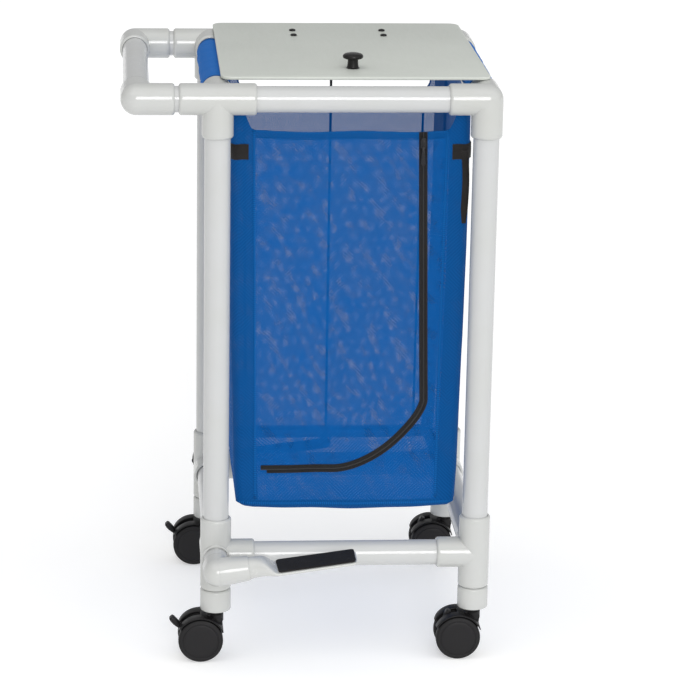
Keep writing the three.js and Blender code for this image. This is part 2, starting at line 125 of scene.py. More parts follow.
# ------------------------------------------------------------------ node helpers
class Tree:
    def __init__(self, name):
        self.m = bpy.data.materials.new(name)
        self.m.use_nodes = True
        self.t = self.m.node_tree
        self.b = self.t.nodes["Principled BSDF"]
        self.tc = self.t.nodes.new("ShaderNodeTexCoord")

    def put(self, socket, v):
        if isinstance(v, bpy.types.NodeSocket):
            self.t.links.new(v, socket)
        elif hasattr(socket.default_value, "__len__") and not hasattr(v, "__len__"):
            socket.default_value = [v] * len(socket.default_value)
        else:
            socket.default_value = v

    def math(self, op, a, b=None, c=None, clamp=False):
        n = self.t.nodes.new("ShaderNodeMath")
        n.operation, n.use_clamp = op, clamp
        for s, v in zip(n.inputs, (a, b, c)):
            if v is not None:
                self.put(s, v)
        return n.outputs[0]

    def noise(self, scale, detail=2.0, rough=0.5, vector=None, stretch=None, distortion=0.0):
        v = vector or self.tc.outputs["Object"]
        if stretch:
            mp = self.t.nodes.new("ShaderNodeMapping")
            mp.inputs["Scale"].default_value = stretch
            self.t.links.new(v, mp.inputs["Vector"])
            v = mp.outputs[0]
        n = self.t.nodes.new("ShaderNodeTexNoise")
        self.t.links.new(v, n.inputs["Vector"])
        n.inputs["Scale"].default_value, n.inputs["Detail"].default_value = scale, detail
        n.inputs["Roughness"].default_value, n.inputs["Distortion"].default_value = rough, distortion
        return n.outputs["Fac"]

    def ramp(self, fac, stops):
        n = self.t.nodes.new("ShaderNodeValToRGB")
        e = n.color_ramp.elements
        while len(e) < len(stops):
            e.new(0.5)
        for el, (p, c) in zip(e, stops):
            el.position, el.color = p, (*c, 1) if hasattr(c, "__len__") else (c, c, c, 1)
        self.t.links.new(fac, n.inputs["Fac"])
        return n.outputs["Color"]

    def mix(self, fac, a, b):
        n = self.t.nodes.new("ShaderNodeMix")
        n.data_type = "RGBA"
        self.put(n.inputs[0], fac)
        for s, v in ((n.inputs[6], a), (n.inputs[7], b)):
            if isinstance(v, bpy.types.NodeSocket):
                self.t.links.new(v, s)
            else:
                s.default_value = (*v, 1)
        return n.outputs[2]

    def range(self, v, a, b, c, d):
        n = self.t.nodes.new("ShaderNodeMapRange")
        n.interpolation_type = "SMOOTHSTEP"
        for s, x in zip(n.inputs, (v, a, b, c, d)):
            self.put(s, x)
        return n.outputs[0]

    def uv(self):
        n = self.t.nodes.new("ShaderNodeSeparateXYZ")
        self.t.links.new(self.tc.outputs["UV"], n.inputs[0])
        return n.outputs[0], n.outputs[1]

    def bump(self, height, strength, distance, before=None):
        n = self.t.nodes.new("ShaderNodeBump")
        n.inputs["Strength"].default_value, n.inputs["Distance"].default_value = strength, distance
        self.t.links.new(height, n.inputs["Height"])
        if before is not None:
            self.t.links.new(before, n.inputs["Normal"])
        return n.outputs[0]

    def set(self, **kw):
        names = {"color": "Base Color", "rough": "Roughness", "metal": "Metallic", "alpha": "Alpha", "normal": "Normal", "sheen": "Sheen Weight",
                 "sheen_rough": "Sheen Roughness", "coat": "Coat Weight", "coat_rough": "Coat Roughness", "ior": "IOR", "spec": "Specular IOR Level",
                 "sub": "Subsurface Weight"}
        for k, v in kw.items():
            s = self.b.inputs[names[k]]
            if isinstance(v, bpy.types.NodeSocket):
                self.t.links.new(v, s)
            elif k == "color":
                s.default_value = (*v, 1)
            else:
                s.default_value = v
        return self.m


def lin(r, g, b):
    f = lambda c: (c / 255 / 12.92) if c <= 10 else ((c / 255 + 0.055) / 1.055) ** 2.4
    return (f(r), f(g), f(b))


# ------------------------------------------------------------------ materials
def plastic_white(name, base, dirt, rough):
    T = Tree(name)
    big = T.noise(9, 3, 0.55)
    streak = T.noise(40, 4, 0.6, stretch=(1, 1, 0.12))
    fine = T.noise(900, 2, 0.5)
    scuff = T.noise(120, 5, 0.72, distortion=1.2)
    col = T.mix(T.range(big, 0.35, 0.7, 0.0, 0.35), base, dirt)
    col = T.mix(T.range(scuff, 0.7, 0.8, 0.0, 0.1), col, tuple(0.8 * c for c in dirt))
    n = T.bump(fine, 0.03, 0.0002)
    n = T.bump(streak, 0.03, 0.0003, n)
    r = T.range(scuff, 0.45, 0.75, rough - 0.02, rough + 0.08)
    return T.set(color=col, rough=r, normal=n, spec=0.5, ior=1.53)


M_PIPE = plastic_white("pvc_pipe", lin(191, 192, 192), lin(185, 186, 182), 0.2)
M_FIT = plastic_white("pvc_fitting", lin(189, 190, 188), lin(182, 183, 176), 0.2)
M_ARM = plastic_white("pvc_flattened_arm", lin(194, 195, 193), lin(187, 188, 182), 0.24)


def lid_material():
    T = Tree("lid_sheet")
    big = T.noise(5, 3, 0.6)
    peb = T.noise(1500, 2, 0.5)
    scr = T.noise(70, 6, 0.7, stretch=(1, 0.15, 1), distortion=0.6)
    col = T.mix(T.range(big, 0.3, 0.7, 0.0, 1.0), lin(204, 208, 201), lin(200, 204, 197))
    col = T.mix(T.range(scr, 0.7, 0.82, 0.0, 0.12), col, lin(184, 187, 180))
    n = T.bump(peb, 0.12, 0.0004)
    return T.set(color=col, rough=T.range(scr, 0.3, 0.8, 0.38, 0.55), normal=n, spec=0.45)


def black_plastic(name, base, light, rough, grain=700, bump=0.1):
    T = Tree(name)
    g = T.noise(grain, 3, 0.6)
    w = T.noise(45, 4, 0.65)
    col = T.mix(T.range(w, 0.45, 0.8, 0.0, 0.5), base, light)
    n = T.bump(g, bump, 0.0004)
    return T.set(color=col, rough=T.range(w, 0.3, 0.7, rough - 0.05, rough + 0.12), normal=n, spec=0.24)


M_BLACK = black_plastic("moulded_black_plastic", (0.0085, 0.008, 0.0085), (0.016, 0.015, 0.016), 0.38)
M_HUB = black_plastic("wheel_hub_plastic", (0.0095, 0.0088, 0.0098), (0.014, 0.013, 0.014), 0.46)
M_KNOB = black_plastic("knob_plastic", (0.010, 0.0095, 0.009), (0.016, 0.015, 0.015), 0.26, 500, 0.04)
M_TYRE = black_plastic("tyre_tread", (0.0095, 0.009, 0.0095), (0.02, 0.019, 0.0195), 0.55, 1300, 0.18)
M_LID = lid_material()


def grip_material():
    T = Tree("anti_slip_tread")
    g = T.noise(2200, 3, 0.75)
    v = T.noise(60, 3, 0.5)
    col = T.mix(T.range(g, 0.45, 0.72, 0.0, 1.0), (0.006, 0.0055, 0.0055), (0.032, 0.03, 0.03))
    col = T.mix(T.range(v, 0.5, 0.8, 0.0, 0.25), col, (0.05, 0.046, 0.044))
    return T.set(color=col, rough=T.range(g, 0.3, 0.7, 0.72, 0.95), normal=T.bump(g, 0.6, 0.0009), spec=0.3)


M_TREAD = grip_material()


def metal_material(name, base, rough, metal=0.85):
    T = Tree(name)
    w = T.noise(60, 4, 0.65)
    f = T.noise(900, 2, 0.6, stretch=(1, 1, 0.05))
    col = T.mix(T.range(w, 0.5, 0.8, 0.0, 0.6), base, tuple(min(1, c * 1.9 + 0.01) for c in base))
    return T.set(color=col, metal=metal, rough=T.range(w, 0.3, 0.7, rough - 0.06, rough + 0.14), normal=T.bump(f, 0.12, 0.0003))


M_ROD = metal_material("blackened_rod", (0.02, 0.02, 0.022), 0.38, 0.6)
M_STEEL = metal_material("painted_steel", (0.028, 0.028, 0.03), 0.42, 0.6)
M_SLIDER = metal_material("slider_metal", (0.03, 0.03, 0.032), 0.3, 0.9)


def mesh_fabric(name, pitch_u, pitch_v, openness, wobble, blue, deep, hatch=6.1):
    """Knitted mesh: a small rounded hole in each cell, threads round it."""
    T = Tree(name)
    u, v = T.uv()
    du = T.noise(14, 2, 0.5)
    dv = T.noise(11, 2, 0.5, stretch=(1, 1, 1.7))
    uu = T.math("ADD", T.math("MULTIPLY", u, 1000 / pitch_u), T.math("MULTIPLY", du, wobble))
    vv = T.math("ADD", T.math("MULTIPLY", v, 1000 / pitch_v), T.math("MULTIPLY", dv, wobble))
    row = T.math("MULTIPLY", T.math("MODULO", T.math("FLOOR", vv), 2.0), 0.5)
    su = T.math("ABSOLUTE", T.math("SINE", T.math("MULTIPLY", T.math("ADD", uu, row), math.pi)))
    sv = T.math("ABSOLUTE", T.math("SINE", T.math("MULTIPLY", vv, math.pi)))
    cell = T.math("MULTIPLY", su, sv)
    if openness > 0:
        thr = 1 - openness * math.pi / 2
        hole = T.range(T.math("SUBTRACT", cell, thr), -0.12, 0.12, 0.0, 1.0)
        # the knit is pulled into fine diagonal lines, one way in some patches and the other way in others,
        # and stands more open in soft bands across the front panel
        wx = T.math("MULTIPLY", T.noise(26, 2, 0.5), 7.0)
        d1 = T.math("SINE", T.math("ADD", T.math("MULTIPLY", T.math("ADD", u, v), 1000 * TAU / hatch), wx))
        d2 = T.math("SINE", T.math("ADD", T.math("MULTIPLY", T.math("SUBTRACT", u, v), 1000 * TAU / hatch), wx))
        side = T.range(T.noise(15, 2, 0.5), 0.46, 0.54, 0.0, 1.0)
        lines = T.math("ADD", T.math("MULTIPLY", d1, side), T.math("MULTIPLY", d2, T.math("SUBTRACT", 1.0, side)))
        cloud = T.range(T.noise(30, 4, 0.65), 0.38, 0.7, 0.0, 1.0)
        warp = T.math("MULTIPLY", T.noise(6.5, 2, 0.5), 22.0)
        band = T.math("SINE", T.math("ADD", T.math("ADD", T.math("MULTIPLY", u, TAU / 0.034), T.math("MULTIPLY", v, TAU / 0.052)), warp))
        band = T.range(band, -0.6, 1.0, 0.25, 1.0)
        sep = T.t.nodes.new("ShaderNodeSeparateXYZ")
        T.t.links.new(T.tc.outputs["Object"], sep.inputs[0])
        front = T.range(sep.outputs[1], -0.17, -0.12, 1.0, 0.0)
        low = T.range(sep.outputs[2], 0.29, 0.36, 0.25, 1.0)
        f = T.math("MULTIPLY", T.math("MULTIPLY", cloud, band), 0.5)
        f = T.math("ADD", f, T.math("MULTIPLY", T.math("MULTIPLY", T.math("ADD", lines, 0.4), T.range(T.noise(18, 2, 0.5), 0.36, 0.56, 0.25, 1.0)), 0.17))
        f = T.math("ADD", T.math("MULTIPLY", f, low), 0.05)
        f = T.math("ADD", T.math("MULTIPLY", f, front), T.math("MULTIPLY", T.math("SUBTRACT", 1.0, front), 0.13))
        seen = T.math("MULTIPLY", f, T.math("ADD", T.math("MULTIPLY", hole, 3.4), 0.6))
        seen = T.math("MULTIPLY", seen, openness / 0.125)
        hole = T.math("SUBTRACT", 1.0, T.math("MAXIMUM", T.math("MINIMUM", seen, 0.85), 0.0))
    fil = T.noise(2600, 2, 0.6)
    blotch = T.noise(7, 4, 0.6)
    thread = T.range(cell, 0.05, 0.8, 1.0, 0.0)
    col = T.mix(T.math("MULTIPLY", thread, T.range(fil, 0.35, 0.7, 0.3, 1.0)), deep, blue)
    col = T.mix(T.range(blotch, 0.35, 0.7, 0.0, 0.22), col, tuple(0.8 * c for c in deep))
    if openness > 0:
        col = T.mix(T.range(lines, -0.4, 1.0, 0.0, 0.3), col, tuple(1.5 * c + 0.004 for c in blue))
    n = T.bump(thread, 0.5, 0.0006)
    kw = dict(color=col, rough=T.range(fil, 0.3, 0.7, 0.65, 0.85), normal=n, sheen=0.02, sheen_rough=0.5, spec=0.06)
    if openness > 0:
        kw["alpha"] = hole
    # painted light: the knit glows with a constant blue emission, standing in for light coming through the thin fabric
    # from behind
    T.b.inputs["Emission Color"].default_value = (*(0.5 * (a + c) for a, c in zip(blue, deep)), 1)
    T.b.inputs["Emission Strength"].default_value = 0.48
    return T.set(**kw)


BLUE, DEEP = (0.0014, 0.073, 0.262), (0.0009, 0.052, 0.195)
M_MESH = mesh_fabric("bag_mesh_fabric", 1.7, 1.9, 0.125, 1.2, BLUE, DEEP)
M_DENSE = mesh_fabric("bag_doubled_fabric", 1.7, 1.9, 0.022, 1.0, (0.0012, 0.06, 0.212), (0.0008, 0.042, 0.152))

# painted light: the sleeves over the top rails use a lighter copy of the bag's knit, without holes, brighter than the
# same fabric on the panels
M_SLEEVE = mesh_fabric("bag_sleeve_fabric", 1.7, 1.9, 0, 1.0, (0.013, 0.108, 0.36), (0.009, 0.085, 0.29))


def seam_material():
    T = Tree("bag_seam_tape")
    u, v = T.uv()
    st = T.math("ABSOLUTE", T.math("SINE", T.math("MULTIPLY", u, 1000 * math.pi / 3.4)))
    f = T.noise(2400, 2, 0.6)
    col = T.mix(T.range(st, 0.15, 0.75, 0.0, 1.0), (0.001, 0.055, 0.2), (0.002, 0.095, 0.33))
    return T.set(color=col, rough=T.range(f, 0.3, 0.7, 0.6, 0.8), normal=T.bump(st, 0.5, 0.0006), sheen=0.02, spec=0.08)


M_SEAM = seam_material()


def webbing_material(name, base, light, ribs, across):
    """Woven tape: ribs along the length, cross-threads and soft lighter patches."""
    T = Tree(name)
    u, v = T.uv()
    a = T.math("SINE", T.math("MULTIPLY", u, 1000 * TAU / across))
    b = T.math("SINE", T.math("MULTIPLY", v, 1000 * TAU / ribs))
    w = T.math("MULTIPLY", a, b)
    f = T.noise(1800, 2, 0.6)
    g = T.noise(35, 3, 0.6)
    col = T.mix(T.range(w, -0.6, 0.9, 0.0, 1.0), base, light)
    col = T.mix(T.range(g, 0.5, 0.8, 0.0, 0.35), col, tuple(1.5 * c for c in light))
    h = T.math("ADD", T.math("MULTIPLY", w, 0.5), T.math("MULTIPLY", f, 0.4))
    return T.set(color=col, rough=T.range(f, 0.3, 0.7, 0.7, 0.9), normal=T.bump(h, 0.5, 0.0007), sheen=0.15, sheen_rough=0.5, spec=0.25)


M_WEB = webbing_material("strap_webbing", (0.0085, 0.0075, 0.007), (0.021, 0.018, 0.017), 2.4, 2.0)
M_TAPE = webbing_material("zipper_tape_fabric", (0.0065, 0.006, 0.0065), (0.015, 0.014, 0.0145), 1.1, 1.1)


def teeth_material():
    T = Tree("zipper_coil")
    u, v = T.uv()
    a = T.math("ABSOLUTE", T.math("SINE", T.math("MULTIPLY", u, 1000 * math.pi / 1.7)))
    col = T.mix(T.range(a, 0.1, 0.8, 0.0, 1.0), (0.004, 0.004, 0.004), (0.026, 0.025, 0.026))
    f = T.noise(1500, 2, 0.6)
    return T.set(color=col, rough=T.range(f, 0.3, 0.7, 0.34, 0.5), normal=T.bump(a, 0.7, 0.0006), spec=0.5)


M_TEETH = teeth_material()


def floor_material():
    T = Tree("floor")
    g = T.noise(3, 2, 0.5)
    col = T.mix(T.range(g, 0.3, 0.7, 0.0, 1.0), (0.72, 0.72, 0.72), (0.71, 0.71, 0.71))
    T.b.inputs["Emission Color"].default_value = (1, 1, 1, 1)
    T.b.inputs["Emission Strength"].default_value = 0.42
    return T.set(color=col, rough=0.9, spec=0.1)


# ------------------------------------------------------------------ mesh building
class B:
    def __init__(self):
        self.V, self.F, self.M, self.U = [], [], [], []

    def add(self, V, F, m=0, uv=None):
        o = len(self.V)
        self.V += [tuple(float(c) for c in v) for v in V]
        for k, f in enumerate(F):
            self.F.append(tuple(i + o for i in f))
            self.M.append(m[k] if isinstance(m, (list, tuple)) else m)
            self.U.append(uv[k] if uv is not None else None)

    def bm(self, bm, m=0, fn=None):
        bm.verts.ensure_lookup_table()
        V = [fn(*v.co) if fn else tuple(v.co) for v in bm.verts]
        self.add(V, [[v.index for v in f.verts] for f in bm.faces], m)
        bm.free()

    def lathe(self, prof, at, d, n=56, m=0):
        """prof is [(radius, distance along d)], m a material index or one for each segment"""
        d = Vector(d).normalized()
        e1 = d.orthogonal().normalized()
        if abs(d.z) < 0.5:
            e1 = Vector((0, 0, 1)) - d * d.z
            e1.normalize()
        else:
            e1 = Vector((1, 0, 0)) - d * d.x
            e1.normalize()
        e2 = d.cross(e1)
        at = Vector(at)
        V, rings = [], []
        for r, t in prof:
            if r < 1e-6:
                rings.append([len(V)])
                V.append(at + d * t)
            else:
                rings.append(list(range(len(V), len(V) + n)))
                for i in range(n):
                    a = TAU * i / n
                    V.append(at + d * t + (e1 * math.cos(a) + e2 * math.sin(a)) * r)
        F, mm = [], []
        for k in range(len(rings) - 1):
            p, q = rings[k], rings[k + 1]
            for i in range(n):
                j = (i + 1) % n
                if len(p) == 1 and len(q) == 1:
                    continue
                if len(p) == 1:
                    f = [p[0], q[i], q[j]]
                elif len(q) == 1:
                    f = [p[i], q[0], p[j]]
                else:
                    f = [p[i], q[i], q[j], p[j]]
                F.append(f)
                mm.append(m[k] if isinstance(m, (list, tuple)) else m)
        self.add(V, F, mm)

    def ball(self, c, r, n=56, m=0):
        k = n // 2
        self.lathe([(r * math.sin(math.pi * i / k) if 0 < i < k else 0, -r * math.cos(math.pi * i / k)) for i in range(k + 1)], c, (0, 0, 1), n, m)

    def box(self, x0, x1, y0, y1, z0, z1, r=0.6, seg=2, m=0, fn=None):
        bm = bmesh.new()
        bmesh.ops.create_cube(bm, size=1)
        for v in bm.verts:
            v.co = ((x0 + x1) / 2 + v.co.x * (x1 - x0), (y0 + y1) / 2 + v.co.y * (y1 - y0), (z0 + z1) / 2 + v.co.z * (z1 - z0))
        if r:
            bmesh.ops.bevel(bm, geom=bm.edges[:], offset=r, segments=seg, profile=0.5, affect="EDGES")
        self.bm(bm, m, fn)

    def prism(self, pts, w0, w1, fn, r=0.5, seg=2, m=0):
        """polygon (u, v) from w0 to w1, mapped by fn(u, v, w), with its edges rounded"""
        bm = bmesh.new()
        a = [bm.verts.new((u, v, w0)) for u, v in pts]
        b = [bm.verts.new((u, v, w1)) for u, v in pts]
        bm.faces.new(a[::-1])
        bm.faces.new(b)
        for i in range(len(pts)):
            j = (i + 1) % len(pts)
            bm.faces.new((a[i], a[j], b[j], b[i]))
        if r:
            bm.normal_update()
            top = [e for e in bm.edges if abs(e.verts[0].co.z - e.verts[1].co.z) < 1e-6]
            bmesh.ops.bevel(bm, geom=top, offset=r, segments=seg, profile=0.5, affect="EDGES", clamp_overlap=True)
        self.bm(bm, m, fn)

    def loft(self, rings, m=0, uv=None, cap=True):
        n = len(rings[0])
        V = [p for r in rings for p in r]
        F, U = [], []
        for k in range(len(rings) - 1):
            for i in range(n):
                j = (i + 1) % n
                F.append((k * n + i, k * n + j, (k + 1) * n + j, (k + 1) * n + i))
                if uv is not None:
                    L, W = uv
                    U.append([(L[k], W[i]), (L[k], W[i + 1]), (L[k + 1], W[i + 1]), (L[k + 1], W[i])])
        if cap:
            F += [tuple(range(n))[::-1], tuple(range((len(rings) - 1) * n, len(rings) * n))]
            if uv is not None:
                U += [[(0, 0)] * n, [(0, 0)] * n]
        self.add(V, F, m, U if uv is not None else None)

    def ribbon(self, P, S, N, w, t, m=0, round_=0.35):
        """flat band of width w and thickness t: P centre points, S sideways and N outward unit vectors"""
        P, S, N = (np.array(a, float) for a in (P, S, N))
        w = np.broadcast_to(w, (len(P),))
        L = np.concatenate([[0], np.cumsum(np.linalg.norm(np.diff(P, axis=0), axis=1))]) * MM
        rings = []
        e = min(round_, t / 2)
        for p, s, q, ww in zip(P, S, N, w):
            h = ww / 2
            sec = [(-h, -t / 2 + e), (-h + e, -t / 2), (h - e, -t / 2), (h, -t / 2 + e), (h, t / 2 - e), (h - e, t / 2), (0, t / 2 + 0.12 * t), (-h + e, t / 2), (-h, t / 2 - e)]
            rings.append([p + s * a + q * b for a, b in sec])
        h = w[0] / 2
        W = [c * MM for c in (-h, -h + e, h - e, h, h + 0.2, h - e, 0, -h + e, -h, -h)]
        self.loft(rings, m, (L, W))

    def make(self, name, mats, body, nodes=(), slot=None, sharp=34, recalc=True):
        me = bpy.data.meshes.new(name)
        me.from_pydata([tuple(c * MM for c in v) for v in self.V], [], self.F)
        mats = mats if isinstance(mats, (list, tuple)) else [mats]
        for mt in mats:
            me.materials.append(mt)
        me.polygons.foreach_set("material_index", self.M)
        if any(u is not None for u in self.U):
            lay = me.uv_layers.new(name="uv")
            for p, u in zip(me.polygons, self.U):
                if u is None:
                    continue
                for k, li in enumerate(p.loop_indices):
                    lay.data[li].uv = u[k]
        bm = bmesh.new()
        bm.from_mesh(me)
        if recalc:
            bmesh.ops.recalc_face_normals(bm, faces=bm.faces[:])
        for f in bm.faces:
            f.smooth = True
        for e in bm.edges:
            e.smooth = not (len(e.link_faces) == 2 and e.calc_face_angle(0) > math.radians(sharp))
        bm.to_mesh(me)
        bm.free()
        me.update()
        o = bpy.data.objects.new(name, me)
        scene.collection.objects.link(o)
        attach(o, body)
        if nodes:
            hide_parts(*nodes)
        return o


# ------------------------------------------------------------------ dimensions, as in the part
W2, D2, ZT, ZB = 216, 227.5, 955, 183
RP, RPI, RF, RB, LF, ENDG, XH = 21.1, 17.5, 25.6, 21.5, 62, 26, -345
X, NX, Y, NY, Z, NZ = (1, 0, 0), (-1, 0, 0), (0, 1, 0), (0, -1, 0), (0, 0, 1), (0, 0, -1)
NS = 64
TL, FR = [(-1, "l"), (1, "r")], [(-1, "f"), (1, "b")]


# ------------------------------------------------------------------ pipes and fittings
def pipe(name, at, d, l0, l1, ro=RP, ri=RPI):
    b = B()
    b.lathe([(ri, l0 + 0.6), (ri + 0.6, l0), (ro - 0.6, l0), (ro, l0 + 0.6), (ro, l1 - 0.6), (ro - 0.6, l1), (ri + 0.6, l1), (ri, l1 - 0.6), (ri, l0 + 0.6)], at, d, NS)
    b.make(name + ".looks", M_PIPE, body_of(name), [name], "pipe")


def body_of(node):
    return frame["record"] and NODE_BODY[node]


NODE_BODY = {n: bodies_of(o)[0] for n, o in frame["nodes"].items()}


def branch(b, c, d, l, r=RF, rb=RB):
    b.lathe([(0, 0), (r, 0), (r, l - 6.4), (r, l - 3.4), (r - 0.35, l - 2.4), (r - 1.9, l - 0.5), (r - 2.7, l), (rb + 0.35, l), (rb, l - 0.5), (rb, l - 22), (0, l - 22)], c, d, NS)


def fitting(name, c, branches, ball=True, r=RF, rb=RB, fn=None, mat=None, slot="fitting"):
    b = B()
    for d, l in branches:
        branch(b, c, d, l, r, rb)
    if ball:
        b.ball(c, r, NS)
    if fn:
        b.V = [fn(*v) for v in b.V]
    return b


for sx, nx in TL:
    for sy, ny in FR:
        k = ny + nx
        dx, dy = (X if sx < 0 else NX), (Y if sy < 0 else NY)
        br = [(dx, LF), (dy, LF), (NZ, LF)] + ([(NX, LF)] if sx < 0 else [])
        fitting("", (sx * W2, sy * D2, ZT), br).make(f"corner_top_{k}.looks", M_FIT, "frame", [f"corner_top_{k}"], "fitting")
        t = (sx * W2, sy * D2, ZB)
        b = fitting("", t, [(Z, 66), (NZ, 58.2), (dx, 64), (dy, LF)], ball=False)
        if sx < 0:  # drilled through for the pedal shaft: a bevelled collar round the hole
            b.lathe([(21.9, 24.0), (24.6, 24.0), (24.6, 26.2), (23.6, 26.9), (21.9, 26.9), (21.9, 24.0)], t, NY if sy < 0 else Y, NS)
        b.make(f"tee_low_{k}.looks", M_FIT, "frame", [f"tee_low_{k}"], "fitting")
        pipe(f"post_{k}", (sx * W2, sy * D2, 0), Z, ZB + ENDG, ZT - ENDG)
        # socket under the tee: a cap with a spigot, bored for the caster's stem
        b = B()
        b.lathe([(6.6, 87.6), (7.4, 87), (RF - 1.2, 87), (RF - 0.35, 87.5), (RF, 88.4), (RF, 120.8), (RF - 0.4, 121.8), (RF - 1.9, 123.6), (RF - 2.7, 124), (RP + 0.3, 124), (RP, 124.5),
                 (RP, 151), (RP - 1, 152), (6.6, 152), (6.6, 87.6)], (sx * W2, sy * D2, 0), Z, NS)
        b.make(f"caster_socket_{k}.looks", M_FIT, "frame", [f"caster_socket_{k}"], "fitting")
for sy, ny in FR:
    fitting("", (XH, sy * D2, ZT), [(X, 60), (Y if sy < 0 else NY, 60)]).make(f"handle_elbow_{ny}.looks", M_FIT, "frame", [f"handle_elbow_{ny}"], "fitting")
    pipe(f"handle_nipple_{ny}", (0, sy * D2, ZT), X, XH + ENDG, -W2 - ENDG)
    pipe(f"rail_top_{ny}", (0, sy * D2, ZT), X, -W2 + ENDG, W2 - ENDG)
    pipe(f"rail_low_{ny}", (0, sy * D2, ZB), X, -W2 + ENDG, W2 - ENDG)
pipe("handle_grip", (XH, 0, ZT), Y, -D2 + ENDG, D2 - ENDG)
pipe("rail_top_l", (-W2, 0, ZT), Y, -D2 + ENDG, D2 - ENDG)
pipe("rail_top_r", (W2, 0, ZT), Y, -D2 + ENDG, D2 - ENDG)
pipe("rail_low_r", (W2, 0, ZB), Y, -D2 + ENDG, D2 - ENDG)

